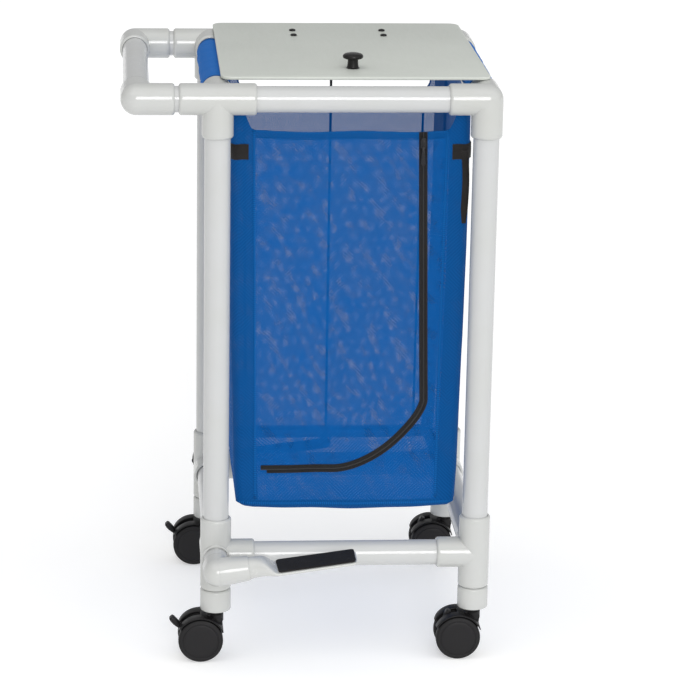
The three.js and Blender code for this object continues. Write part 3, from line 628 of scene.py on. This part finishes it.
# ------------------------------------------------------------------ casters
RW, WX = 37.5, -25.0
for sx, nx in TL:
    for sy, ny in FR:
        k = ny + nx
        ax, ay = sx * W2, sy * D2
        wc = (ax + WX, ay, RW)
        for side, s in (("a", -1), ("b", 1)):
            b = B()
            prof = [(0, 28.75), (6, 28.72), (12, 28.62), (18, 28.5), (24, 28.3), (28.6, 28.1), (29.1, 27.8), (29.4, 27.4), (30.0, 27.4), (30.3, 27.8), (30.9, 28.0), (32.6, 27.95),
                    (33.0, 27.75), (33.3, 27.75), (35.0, 27.3), (36.5, 26.4), (37.25, 24.6), (37.5, 22.4), (37.5, 16.4), (37.2, 14.0), (36.3, 12.2), (35.0, 11.3), (33, 11.2), (10, 11.2), (4.4, 11.2)]
            mi = [1 if (p[0] + q[0]) / 2 > 33.05 else 0 for p, q in zip(prof, prof[1:])]
            if s < 0:
                prof, mi = prof + [(4, 11.2), (4, -22), (0, -22)], mi + [0, 0, 0]
            else:
                prof, mi = prof + [(4.5, 11.2)], mi + [0]
            b.lathe([(r, t) for r, t in prof], wc, (0, s, 0), 72, mi)
            b.make(f"wheel_{side}_{k}.looks", [M_HUB, M_TYRE], f"wheels_{k}", [f"wheel_{side}_{k}"], "tyre")
        # housing
        b = B()
        hood = []
        for i in range(33):
            a = math.radians(22 + 69 * i / 32)
            c_, s_ = math.cos(a), math.sin(a)
            end = min(i, 32 - i) / 3
            lip = 0.5 * max(0, 1 - end)
            sec = [(27.5, 39.5 + lip * 0.2), (27.5, 40.5 - lip * 0.4), (26.9, 41.2 - lip), (25.6, 41.5 - lip), (0, 41.6 - lip), (-25.6, 41.5 - lip), (-26.9, 41.2 - lip), (-27.5, 40.5 - lip * 0.4),
                   (-27.5, 39.5 + lip * 0.2), (-26.6, 39.3), (0, 39.3), (26.6, 39.3)]
            hood.append([(wc[0] + r * c_, ay + y, wc[2] + r * s_) for y, r in sec])
        b.loft(hood)
        for s in (-1, 1):
            strip = []
            for i in range(25):
                a = math.radians(89 + 65 * i / 24)
                c_, s_ = math.cos(a), math.sin(a)
                lip = 0.5 * max(0, 1 - (24 - i) / 3)
                q = 26.9 - 5.5 * max(0, (i - 15) / 9) ** 2
                sec = [(q + 0.6, 39.5 + lip * 0.2), (q + 0.6, 40.5 - lip * 0.4), (q, 41.2 - lip), (q - 1.3, 41.5 - lip), (9.6, 41.55 - lip), (8.6, 41.2 - lip), (8.2, 40.4 - lip * 0.5), (8.4, 39.4), (q - 0.3, 39.3)]
                strip.append([(wc[0] + r * c_, ay + s * y, wc[2] + r * s_) for y, r in sec])
            b.loft(strip)
        for s in (-1, 1):  # cheeks either side of the lever's slot
            b.lathe([(4.7, 7.9), (34, 7.9), (34, 9.4), (33.4, 10), (4.7, 10), (4.7, 7.9)], wc, (0, s, 0), 72)
        fn = lambda u, v, w: (u, w, v)
        core = [(wc[0] + 33.8 * math.cos(math.radians(t_)), wc[2] + 33.8 * math.sin(math.radians(t_))) for t_ in np.linspace(87.5, -160, 60)]
        core += [(ax - 42, 30), (ax - 43, 58), (ax - 24, 64)]
        b.prism(core[::-1], ay - 7.8, ay + 7.8, fn, 0.2, 1)
        neck = [(ax - 22, 66), (ax - 16, 77.2), (ax - 9, 79.6), (ax + 9.2, 79.6), (ax + 12.0, 70), (ax + 9.5, 44), (ax + 6, 40), (ax - 16, 40)]
        b.prism(neck, ay - 10, ay + 10, fn, 1.2, 3)
        b.lathe([(0, 66), (13.5, 66), (13.4, 78.2), (12.2, 79.6), (11.4, 80.4), (11, 81.6), (11, 85.0), (10.2, 86.1), (5.6, 86.1), (5.6, 138.6), (4.4, 140), (0, 140)], (ax, ay, 0), Z, 40)
        b.make(f"caster_housing_{k}.looks", M_BLACK, f"swivel_{k}", [f"caster_housing_{k}"], "black")
        # brake lever
        b = B()
        ang = math.radians(132 if sx < 0 else 70)
        c_, s_ = math.cos(ang), math.sin(ang)
        px, pz = ax - 51, 46
        st = [(-4, -3.0, 2.2, 6.0), (-2.5, -3.5, 3.1, 6.8), (2, -3.3, 3.5, 7), (9, -2.6, 3.0, 7), (15, -2.9, 3.4, 7.1), (19, -4.4, 4.6, 7.4), (24, -4.8, 5.0, 7.5), (31, -4.6, 4.9, 7.5), (34.3, -3.9, 4.3, 7.0), (35.4, -2.8, 3.2, 5.8)]
        rings = []
        for u, v0, v1, hw in st:
            ring = []
            for i in range(20):
                t = TAU * i / 20
                q = 2 / 4.5
                y = hw * math.copysign(abs(math.cos(t)) ** q, math.cos(t))
                v = (v0 + v1) / 2 + (v1 - v0) / 2 * math.copysign(abs(math.sin(t)) ** q, math.sin(t))
                ring.append((px + u * c_ - v * s_, ay + y, pz + u * s_ + v * c_))
            rings.append(ring)
        b.loft(rings)
        for u in (23.5, 26.2, 28.9):  # grip ribs
            b.box(u - 0.5, u + 0.5, -5.6, 5.6, 4.6, 5.5, 0.3, 1, 0, lambda a_, y, v: (px + a_ * c_ - v * s_, ay + y, pz + a_ * s_ + v * c_))
        b.lathe([(0, -7.7), (2.3, -7.7), (2.5, -7.5), (2.5, 7.5), (2.3, 7.7), (0, 7.7)], (px, ay, pz), Y, 24)
        b.make(f"brake_lever_{k}.looks", M_BLACK, f"brake_{k}", [f"brake_lever_{k}"], "black")

# ------------------------------------------------------------------ lid
LX0, LX1, LY0, LY1, LZ, LT = -210, 225, -203, 257, 981, 4.8
HX, HB, KX, KY = (-75, 79), (184, 141), 6, -131


def rounded(x0, x1, y0, y1, r, n=10):
    out = []
    for cx_, cy_, a0 in ((x1 - r, y1 - r, 0), (x0 + r, y1 - r, 90), (x0 + r, y0 + r, 180), (x1 - r, y0 + r, 270)):
        for i in range(n + 1):
            a = math.radians(a0 + 90 * i / n)
            out.append((cx_ + r * math.cos(a), cy_ + r * math.sin(a)))
    return out


b = B()
pts = rounded(LX0, LX1, LY0, LY1, 18)
levels = [(1.1, 0), (0.35, 0.3), (0, 1.0), (0, LT - 1.1), (0.35, LT - 0.35), (1.2, LT)]
rings = []
for inset, dz in levels:
    ring = rounded(LX0 + inset, LX1 - inset, LY0 + inset, LY1 - inset, 18 - inset)
    rings.append([(u - 6.5 * max(0, u) / LX1 * (v - LY0) / (LY1 - LY0), v, LZ + dz) for u, v in ring])
b.loft(rings)
b.make("lid.looks", M_LID, "lid", ["lid"], "lid", sharp=50)

b = B()
zu = LZ + LT
b.lathe([(0, 974), (4.6, 974), (5.2, 974.6), (5.2, 977.4), (4.6, 978), (3, 978), (3, zu + 0.3), (10.6, zu + 0.3), (10.9, zu + 0.9), (9.6, zu + 1.8), (8.9, 992), (8.4, 998), (8.7, 1000.6), (10.2, 1001.6),
         (14.6, 1002.2), (16.2, 1003.2), (16.8, 1005.2), (16.5, 1007.0), (15.0, 1008.8), (11.5, 1010.2), (6, 1011.1), (0, 1011.4)], (KX, KY, 0), Z, 56)
b.make("knob.looks", M_KNOB, "lid", ["knob"], "black")

for i, x in enumerate(HX):
    b = B()
    b.lathe([(22, -10.6), (22.5, -11), (24.0, -11), (24.6, -10.5), (24.6, 10.5), (24.0, 11), (22.5, 11), (22, 10.6), (22, -10.6)], (x, D2, ZT), X, 72)
    b.box(x - 11, x + 11, 128, 229.5, ZT + 22.4, LZ - 0.4, 0.9, 2)
    for y in HB:
        b.lathe([(0, 977.2), (3, 977.2), (3, zu + 0.3), (5.3, zu + 0.3), (5.6, zu + 0.8), (5.6, zu + 1.6), (5.0, zu + 2.6), (3.6, zu + 3.2), (1.9, zu + 3.35), (1.7, zu + 2.4), (0, zu + 2.3)], (x, y, 0), Z, 32)
    b.make(f"hinge_strap_{'r' if i else 'l'}.looks", M_BLACK, "lid", [f"hinge_strap_{'r' if i else 'l'}"], "black")

# bracket of the lift rod, crank and rod
PY, PZ = 277.5, 975
b = B()
ear = [(232, LZ - 0.5), (232, LZ - 3.2), (250, LZ - 5), (PY - 6, PZ - 5.5), (PY + 2, PZ - 6), (PY + 5, PZ - 4), (PY + 6, PZ - 1), (PY + 6, PZ + 2), (PY + 4.6, PZ + 4.6), (PY + 2, PZ + 5.6), (256, LZ - 0.5)]
for x0 in (-7.5, 4.5):
    b.prism(ear, x0, x0 + 3, lambda u, v, w: (w, u, v), 0.4, 2)
b.box(-5, 5, 232, 243, LZ - 2.6, LZ - 0.5, 0.4)
b.lathe([(0, -9), (1.9, -9), (2.3, -8.6), (2.3, 8.6), (1.9, 9), (0, 9)], (0, PY, PZ), X, 24)
b.make("rod_bracket.looks", M_STEEL, "lid", ["rod_bracket"], "steel")

ca = math.radians(8)
ex, ez = -W2 + 217 * math.cos(ca), ZB + 217 * math.sin(ca)
crank = lambda u, v, w: (-W2 + u * math.cos(ca) - v * math.sin(ca), w, ZB + u * math.sin(ca) + v * math.cos(ca))
b = B()
b.lathe([(20.8, 254.8), (26.4, 254.8), (27, 255.4), (27, 265.4), (26.4, 266), (21.3, 266), (20.8, 265.5), (20.8, 254.8)], (-W2, 0, ZB), Y, 64)
end = [(217 + 9 * math.cos(t), 9 * math.sin(t)) for t in np.linspace(-math.pi / 2, math.pi / 2, 13)]
b.prism([(22, -12.6)] + end + [(22, 12.6)], 254.8, 259.6, crank, 0.6, 2)
b.lathe([(0, 257), (3.5, 257), (3.5, 287.4), (6.1, 287.4), (6.5, 287.8), (6.5, 289.6), (6.1, 290), (0, 290)], (ex, 0, ez), Y, 32)
b.lathe([(0, -28.2), (2.4, -28.2), (3.2, -27.6), (3.4, -26.4), (3.4, -20)], (-W2, 260.5, ZB), (math.cos(ca), 0, math.sin(ca)), 24)
b.make("pedal_crank.looks", M_STEEL, "pedal", ["pedal_crank"], "steel")

zc = ez + 1.2
b = B()
b.lathe([(0, zc + 8.2), (2.3, zc + 8.2), (2.3, PZ - 4.5), (0, PZ - 4.5)], (0, PY, 0), Z, 24)
eye = lambda ri, ro, h: [(ri + 0.5, -h), (ro - 0.8, -h), (ro, -h + 0.8), (ro, h - 0.8), (ro - 0.8, h), (ri + 0.5, h), (ri, h - 0.5), (ri, -h + 0.5), (ri + 0.5, -h)]
b.lathe(eye(3.2, 6.2, 2.3), (0, PY, PZ), X, 40)
b.lathe(eye(6.7, 10, 2.3), (0, PY, zc), Y, 48)
b.make("lift_rod.looks", M_ROD, "rod", ["lift_rod"], "rod")

# ------------------------------------------------------------------ pedal
YE, TILT = -312, math.radians(7.5)
tt = math.tan(TILT)
b = B()
b.lathe([(16.6, YE + 10), (20.3, YE + 10), (20.3, 267), (19.6, 268), (17.2, 268), (16.6, 267.4), (16.6, YE + 10)], (-W2, 0, ZB), Y, NS)
b.make("pedal_shaft.looks", M_PIPE, "pedal", ["pedal_shaft"], "pipe")
rot = lambda x, y, z: (-W2 + x * math.cos(TILT) - z * math.sin(TILT), YE + y, ZB + x * math.sin(TILT) + z * math.cos(TILT))
b = B()
branch(b, (0, 0, 0), Y, 31, 23.2, 20.6)
b.ball((0, 0, 0), 23.2, NS)
b.lathe([(18.4, 4), (23.2, 4), (23.2, 12), (22.9, 20), (22.1, 30), (21.1, 42), (20.5, 50), (20.3, 51.6), (19.9, 52.6), (19.2, 53), (18.4, 53), (18.4, 4)], (0, 0, 0), X, NS)
b.V = [rot(*v) for v in b.V]
b.make("pedal_elbow.looks", M_FIT, "pedal", ["pedal_elbow"], "fitting")
st = np.array([[-190, 0, 18, 18, 2], [-161, 0, 18, 18, 2], [-150, 0.7, 20.5, 16.7, 2.2], [-142, 0.5, 23, 15.1, 2.4], [-134, -1.4, 25.8, 11.8, 2.7], [-126, -5.2, 28.3, 6.8, 3.2],
               [-119, -8, 30, 3.5, 4], [5, -6.8, 30, 3.4, 4], [12, -6.4, 26, 2.9, 4]], float)
axis_z = lambda x: ZB + (x + W2) * tt
xs = np.concatenate([np.linspace(-190, -165, 4), np.linspace(-162, -116, 34), np.linspace(-110, 2, 16), [5, 8, 9.8, 11, 11.7, 12]])


def eased(x, c):
    # the table's values with its corners rounded over 8 mm
    w = np.linspace(-4, 4, 9)
    return float(np.mean(np.interp(x + w, st[:, 0], st[:, c])))


rings = []
for x in xs:
    f = (lambda c: eased(x, c)) if x < 0 else (lambda c: float(np.interp(x, st[:, 0], st[:, c])))
    dz, a_, b_, p_ = f(1), f(2), f(3), f(4)
    if x < -163:
        dz, a_, b_, p_ = 0, 18, 18, 2
    if x > 4:
        q = min(1, (x - 4) / 8)
        a_ = 30 - 7 * q ** 2.6
        b_ = 3.4 - 1.1 * q ** 3
    ring = []
    for i in range(48):
        t = (i + 0.5) / 48 * TAU
        c_, s_ = math.cos(t), math.sin(t)
        ring.append((x - (math.copysign(abs(s_), s_) * b_ * math.sin(TILT) if p_ < 2.05 else 0), YE + a_ * math.copysign(abs(c_) ** (2 / p_), c_), axis_z(x) + dz + b_ * math.copysign(abs(s_) ** (2 / p_), s_)))
    rings.append(ring)
b = B()
b.loft(rings)
b.make("pedal_arm.looks", M_ARM, "pedal", ["pedal_arm"], "paddle", sharp=40)
top = lambda x: axis_z(x) - 4.6 + (x + 119) * 1.2 / 124
b = B()
slope = (top(8) - top(-116)) / 124
rings = []
for inset, dz in ((0.3, 0.3), (0, 0.8), (0, 1.9), (0.5, 2.4), (1.2, 2.55)):
    rings.append([(u - 0.05 * (v - YE + 28.3) * min(1, max(0, (8 - u) / 100)), v, top(-116) + (u + 116) * slope + dz) for u, v in rounded(-116.5 + inset, 9.5 - inset, YE - 28.3 + inset, YE + 28.3 - inset, 5, 6)])
b.loft(rings)
b.make("pedal_tread.looks", M_TREAD, "pedal", ["pedal_tread"], "tread", sharp=60)

# ------------------------------------------------------------------ bag
BY, BR = 197.0, 14.0
TAB = [(249, 180), (267, 182.5), (322, 185.5), (420, 188), (541, 191.5), (700, 194), (925, 194.5), (960, 194.5)]
hx = lambda z: float(np.interp(z, [t[0] for t in TAB], [t[1] for t in TAB]))


def fold(u, z, seed):
    """soft folds of a hanging panel, in mm: u along the panel, z the height"""
    r = np.random.RandomState(seed)
    d = 0.0
    for _ in range(5):
        f, ph, sl, am = r.uniform(0.008, 0.03), r.uniform(0, TAU), r.uniform(-0.12, 0.12), r.uniform(0.25, 0.6)
        d += am * math.sin(f * TAU * 0.5 * (u + sl * z) + ph)
    for _ in range(3):
        f, ph, am = r.uniform(0.004, 0.012), r.uniform(0, TAU), r.uniform(0.2, 0.5)
        d += am * math.sin(f * TAU * 0.5 * (z + 0.3 * u) + ph)
    return d


NF, NSD, NC = 73, 73, 7
cols = []  # (panel, parameter 0..1 along it, outward normal angle)
for pi_, (panel, cnt) in enumerate((("f", NF), ("r", NSD), ("b", NF), ("l", NSD))):
    a0 = {"f": -90, "r": 0, "b": 90, "l": 180}[panel]
    for i in range(cnt):
        cols.append((panel, i / (cnt - 1), math.radians(a0)))
    for i in range(1, NC):
        cols.append(("c" + panel, i / NC, math.radians(a0 + 90 * i / NC)))


def base(col, z, off=0.0):
    """point of the bag's outline: front runs left to right, then the right side, rear and left side"""
    panel, t, na = col
    a, b_ = hx(z) - off, BY - off
    r = BR - off
    x, y = outline(panel, t, na, a, b_, r)
    if x > 100:
        x += 2.6 * (x - 100) / 90 * min(1, max(0, (520 - z) / 240))
    return (x, y)


def outline(panel, t, na, a, b_, r):
    if panel == "f":
        return (-(a - r) + 2 * (a - r) * t, -b_)
    if panel == "b":
        return ((a - r) - 2 * (a - r) * t, b_)
    if panel == "r":
        return (a, -(b_ - r) + 2 * (b_ - r) * t)
    if panel == "l":
        return (-a, (b_ - r) - 2 * (b_ - r) * t)
    cx_, cy_ = {"cf": (a - r, -(b_ - r)), "cr": (a - r, b_ - r), "cb": (-(a - r), b_ - r), "cl": (-(a - r), -(b_ - r))}[panel]
    return (cx_ + r * math.cos(na), cy_ + r * math.sin(na))


def top_of(col):
    x, y = base(col, 900)
    panel = col[0]
    if panel in "fb":
        z0 = 897 if panel == "f" else 880
        ax_ = abs(x)
        if ax_ < 158:
            return z0 + 1.2 * math.sin(x * 0.035 + (1 if panel == "f" else 2)) - (1.5 if panel == "f" else 3) * (1 - (ax_ / 158) ** 2)
        if ax_ < 166:
            return z0 + 14 * (ax_ - 158) / 8
        return min(925, z0 + 14 + (ax_ - 166) * 6)
    if panel in "lr":
        return 946.0 if abs(y) < 158 else 925.0
    return 925.0


def amp(col, z):
    """how far a fold may stand: nothing at hems, corners and sleeves, most in the lower middle of a panel"""
    panel, t, _ = col
    if len(panel) == 2:
        return 0.35
    e = min(t, 1 - t)
    a = min(1, e * 7) * (0.35 + 0.65 * min(1, max(0, (915 - z) / 260)))
    return a * min(1, (z - 250) / 40) + 0.25


SEED = {"f": 11, "r": 23, "b": 37, "l": 41}
LOW = [(254.2, 13.0), (255.4, 8.0), (258.2, 3.8), (262.5, 1.2), (268, 0.1)]
ZR = [z for z, _ in LOW] + list(np.linspace(278, 860, 60))
HEM = [0.35, 0.68, 0.72, 0.9, 1.0]
perim, acc = [], 0.0
for i, c in enumerate(cols):
    perim.append(acc)
    p, q = base(c, 700), base(cols[(i + 1) % len(cols)], 700)
    acc += math.hypot(p[0] - q[0], p[1] - q[1])
perim.append(acc)


def shell(col, z, inset=0.0, off=0.0):
    x, y = base(col, z, inset)
    panel, t, na = col
    key = panel[-1]
    u = x if key in "fb" else y
    d = fold(u, z, SEED[key]) * amp(col, z)
    if len(panel) == 2:
        d = 0.0
    elif key in "fb":  # the panel bellies out a little low down and draws in between the straps
        mid = 1 - (2 * t - 1) ** 2
        d += mid * (1.6 * math.exp(-((z - 360) / 130) ** 2) - 1.2 * math.exp(-((z - 800) / 110) ** 2))
    else:
        mid = 1 - (2 * t - 1) ** 2
        d += mid * (1.2 * math.exp(-((z - 380) / 140) ** 2) - 1.8 * math.exp(-((z - 760) / 160) ** 2))
    d = max(-4.5, min(2.6, d)) + off
    return (x + math.cos(na) * d, y + math.sin(na) * d, z)


b = B()
nrow = len(ZR) + len(HEM)
V, zs = [], []
for c in cols:
    tp = top_of(c)
    z_of = ZR + [860 + (tp - 860) * h for h in HEM]
    zs.append(z_of)
for r_ in range(nrow):
    for ci, c in enumerate(cols):
        z = zs[ci][r_]
        if r_ < len(LOW):
            x, y, _ = shell(c, z, LOW[r_][1])
            wave = 0.8 * math.sin(perim[ci] * 0.021) + 0.5 * math.sin(perim[ci] * 0.053 + 1)
            k_ = 1 - r_ / len(LOW)
            sag = 3.6 + 3.4 * (1 - min(1, abs(x) / 185) ** 2) * (1 - min(1, abs(y) / 197) ** 6 * 0.0)
            lift = 7.5 * max(0.0, (-x - 150) / 35) ** 1.6 if x < -150 else 0.0
            V.append((x, y, z + wave * k_ - sag * k_ + lift * k_))
        else:
            V.append(shell(c, z))
n = len(cols)
F, MI, UV = [], [], []
for r_ in range(nrow - 1):
    for i in range(n):
        j = (i + 1) % n
        F.append((r_ * n + i, r_ * n + j, (r_ + 1) * n + j, (r_ + 1) * n + i))
        p = cols[i]
        x, y = base(p, 700)
        dense = len(p[0]) == 2 or (p[0] == "f" and abs(x) > 156) or (p[0] == "b" and abs(x) > 178) or (p[0] in "lr" and abs(y) > 166)
        if r_ >= len(ZR) + 1 and not (p[0] in "lr" and abs(y) < 158):
            dense = True
        if r_ < len(LOW) - 1:
            dense = True
        MI.append(1 if dense else 0)
        u0, u1 = perim[i] * MM, perim[i + 1] * MM
        za, zb, zc_, zd = zs[i][r_] * MM, zs[j][r_] * MM, zs[j][r_ + 1] * MM, zs[i][r_ + 1] * MM
        UV.append([(u0, za), (u1, zb), (u1, zc_), (u0, zd)])
b.add(V, F, MI, UV)
# bottom panel: rings drawn in to the middle, sagging a little
bot = []
for k in range(13):
    f = 1 - k / 12
    bot.append([(V[i][0] * f, V[i][1] * f, V[i][2] * f ** 6 + (254.4 - 2.6 * (1 - f * f) + 0.5 * math.sin(V[i][0] * f * 0.05) * math.cos(V[i][1] * f * 0.04)) * (1 - f ** 6)) for i in range(n)])
off = len(b.V)
VV = [p for ring in bot for p in ring]
F, UV = [], []
for k in range(12):
    for i in range(n):
        j = (i + 1) % n
        q = (k * n + i, k * n + j, (k + 1) * n + j, (k + 1) * n + i)
        F.append(q)
        UV.append([(VV[a][0] * MM, VV[a][1] * MM) for a in q])
b.add(VV, F, 0, UV)


# sleeves: the side panels run up and over the side rails
def sleeve(s, seed, slack):
    rnd = np.random.RandomState(seed)
    ph = rnd.uniform(0, TAU, 12)
    rings = []
    ys = np.linspace(-158, 158, 81)
    angs = np.linspace(math.radians(205), math.radians(-160), 49)
    W = [0.0]
    for q in range(1, len(angs)):
        W.append(W[-1] + 23.2 * abs(angs[q] - angs[q - 1]) * MM)
    for y in ys:
        ring = []
        for a in angs:
            e = min(1, (158 - abs(y)) / 12)
            wav = (math.sin(y * 0.06 + ph[0] + 1.7 * math.cos(a + ph[1])) + 0.6 * math.sin(y * 0.13 + ph[2] + 2 * a) + 0.4 * math.sin(y * 0.23 + ph[3] - a)) / 2
            out_ = max(0.0, math.cos(a - math.radians(-25))) ** 2
            r = 22.6 + 0.5 * wav * e + slack * out_ * (0.55 + 0.45 * wav) * e
            r = min(r, 23.9 + 3.5 * max(0.0, math.cos(a + 0.6)) if math.sin(a) < 0.8 else 23.9)
            ring.append((s * (W2 + r * math.cos(a)), y, ZT + r * math.sin(a)))
        rings.append(ring)
    nn = len(angs)
    V_ = [p for r in rings for p in r]
    F_, U_, M_ = [], [], []
    for k in range(len(ys) - 1):
        for i in range(nn - 1):
            F_.append((k * nn + i, k * nn + i + 1, (k + 1) * nn + i + 1, (k + 1) * nn + i))
            U_.append([(ys[k] * MM, W[i]), (ys[k] * MM, W[i + 1]), (ys[k + 1] * MM, W[i + 1]), (ys[k + 1] * MM, W[i])])
            M_.append(1 if k < 3 or k > len(ys) - 5 or i < 4 or i > nn - 6 else 3)
    return V_, F_, M_, U_


for s, sd, sl in ((-1, 5, 2.2), (1, 9, 1.2)):
    b.add(*[(lambda q: q)(a) for a in sleeve(s, sd, sl)])

# seam tapes down the front and rear, hems and the bottom edge
def seam(points, normals, w=5.0, t=0.7, closed=False):
    P, N = np.array(points, float), np.array(normals, float)
    T_ = np.gradient(P, axis=0)
    T_ /= np.linalg.norm(T_, axis=1)[:, None]
    S = np.cross(N, T_)
    S /= np.linalg.norm(S, axis=1)[:, None]
    b.ribbon(P, S, N, w, t, 2, 0.3)


def panel_point(panel, x, z, off):
    """a point on the front or rear panel, at x"""
    a = hx(z) - BR
    t = (x + a) / (2 * a) if panel == "f" else (a - x) / (2 * a)
    na = math.radians(-90 if panel == "f" else 90)
    return shell((panel, min(1, max(0, t)), na), z, 0, off)


for panel, ny_ in (("f", -1), ("b", 1)):
    zt = 897 if panel == "f" else 880
    for sx_ in (-1, 1):
        P = [panel_point(panel, sx_ * (156.5 - 6.5 * (1 - (z - 270) / 630)), z, 0.55) for z in np.linspace(270, zt + 2, 60)]
        seam(P, [(0, ny_, 0)] * len(P), 4.2)
    for dz, w in ((-1.6, 3.0), (-12.6, 1.6)):
        P = []
        for x in np.linspace(-157, 157, 70):
            a = hx(890) - BR
            t = (x + a) / (2 * a) if panel == "f" else (a - x) / (2 * a)
            z = top_of((panel, t, 0)) + dz
            P.append(panel_point(panel, x, z, 0.5))
        seam(P, [(0, ny_, 0)] * len(P), w)
edge, enorm = [], []
for i in list(range(n)) + [0]:
    c = cols[i]
    k = 3
    x, y, z = V[k * n + i]
    edge.append((x + math.cos(c[2]) * 0.5, y + math.sin(c[2]) * 0.5, z))
    enorm.append((math.cos(c[2]), math.sin(c[2]), 0))
seam(edge, enorm, 4.4)
b.make("bag_shell", [M_MESH, M_DENSE, M_SEAM, M_SLEEVE], "frame", ["bag"], "bag", sharp=180, recalc=False)

# ------------------------------------------------------------------ zipper
P2 = [np.array((116.8 + 11.1 * (895 - z) / 454, z)) for z in np.linspace(895, 441, 60)]
bz = [np.array(p, float) for p in ((127.9, 441), (124, 405), (50, 326), (-20, 323))]
for i in range(1, 41):
    t = i / 40
    u = 1 - t
    P2.append(u ** 3 * bz[0] + 3 * u * u * t * bz[1] + 3 * u * t * t * bz[2] + t ** 3 * bz[3])
P2 += [np.array((x, 323 + (20 + x) / 108)) for x in np.linspace(-26, -141, 24)]


def on_front(p, off):
    return panel_point("f", p[0], p[1], off)


def band(builder, pts, off, w, t, mi, shift=0.0, ro=0.3):
    P = np.array([on_front(p, off) for p in pts])
    T_ = np.gradient(P, axis=0)
    T_ /= np.linalg.norm(T_, axis=1)[:, None]
    N = np.tile((0.0, -1.0, 0.0), (len(P), 1))
    S = np.cross(N, T_)
    S /= np.linalg.norm(S, axis=1)[:, None]
    builder.ribbon(P + S * shift, S, N, w, t, mi, ro)


b = B()
for s in (-1, 1):
    Q = P2[:-2] if s > 0 else P2  # cut on the slant at the left end
    band(b, Q, 1.1, 6.4, 0.7, 0, s * 3.75)
    band(b, Q, 1.75, 0.7, 0.5, 0, s * 5.6, 0.2)      # row of stitching
band(b, P2, 1.75, 2.6, 1.7, 1, 0, 0.8)
b.make("zipper_tape.looks", [M_TAPE, M_TEETH], "frame", ["zipper_tape"], "tape", sharp=60)

b = B()
yf = -BY
fn = lambda u, v, w: (u, w, v)
b.prism([(112.4, 870), (114.2, 868.2), (120.2, 868.2), (122.0, 870), (122.3, 880), (120.6, 885.8), (113.8, 885.8), (112.1, 880)], yf - 6.3, yf - 4.0, fn, 0.7, 3)
b.box(115.6, 118.8, yf - 8.2, yf - 6.2, 871, 882.5, 0.6, 2)
b.prism([(115.0, 872), (119.4, 872), (120.6, 850), (121.2, 845), (119.6, 841), (117.2, 840), (114.8, 841), (113.2, 845), (113.8, 850)], yf - 8.0, yf - 6.8, fn, 0.4, 2)
b.make("zipper_slider.looks", M_SLIDER, "zip", ["zipper_slider"], "steel")

# ------------------------------------------------------------------ straps
for s, nm in ((-1, "l"), (1, "r")):
    b = B()
    path, nrm = [], []
    for x in np.linspace(165, 180.5, 6):
        path.append((s * x, -(BY + 1.4)))
        nrm.append((0, -1))
    for a in np.linspace(8, 82, 10):
        c_, s_ = math.cos(math.radians(a)), math.sin(math.radians(a))
        path.append((s * (180.5 + 15.4 * s_), -(183 + 15.4 * c_)))
        nrm.append((s * s_, -c_))
    for y in np.linspace(-183, -120, 14):
        path.append((s * (194.5 + 1.4), y))
        nrm.append((s, 0))
    P, N = [], []
    for i, ((x, y), (nx_, ny_)) in enumerate(zip(path, nrm)):
        rise = (2.0 if s > 0 else 0.0) * i / len(path)
        P.append((x, y, 862 + rise + 0.5 * math.sin(i * 0.6)))
        N.append((nx_, ny_, 0))
    S = [(0, 0, 1)] * len(P)
    b.ribbon(P, S, N, 25.4, 1.7, 0, 0.4)
    # the folded end is switched off and adds nothing
    b.ribbon(P[:5], S[:5], N[:5], 24.4, 1.3, 0, 0.3) if False else None
    if s > 0:
        tail, TN, TS = [], [], []
        for t in np.linspace(0, 1, 26):
            z = 864 - 121 * t
            x = 185.0 + 2.2 * math.sin(t * 4.2) + 3.4 * t * t
            y = -(BY + 2.9) - 1.0 * math.sin(t * 5)
            tail.append((x, y, z))
            TN.append((0.15 * math.sin(t * 6), -1, 0))
            TS.append((1, 0.15 * math.sin(t * 6), 0))
        TN = np.array(TN) / np.linalg.norm(TN, axis=1)[:, None]
        TS = np.array(TS) / np.linalg.norm(TS, axis=1)[:, None]
        w = np.concatenate([np.full(20, 11.5), np.linspace(11.5, 6.5, 6)])
        b.ribbon(tail, TS, TN, w, 1.3, 0, 0.4)
    b.make(f"strap_{nm}.looks", M_WEB, "frame", [f"strap_{nm}"], "webbing", sharp=60)

# ------------------------------------------------------------------ floor
me = bpy.data.meshes.new("floor")
me.from_pydata([(-40, -40, -0.0005), (40, -40, -0.0005), (40, 40, -0.0005), (-40, 40, -0.0005)], [], [(0, 1, 2, 3)])
me.materials.append(floor_material())
floor = bpy.data.objects.new("floor", me)
scene.collection.objects.link(floor)
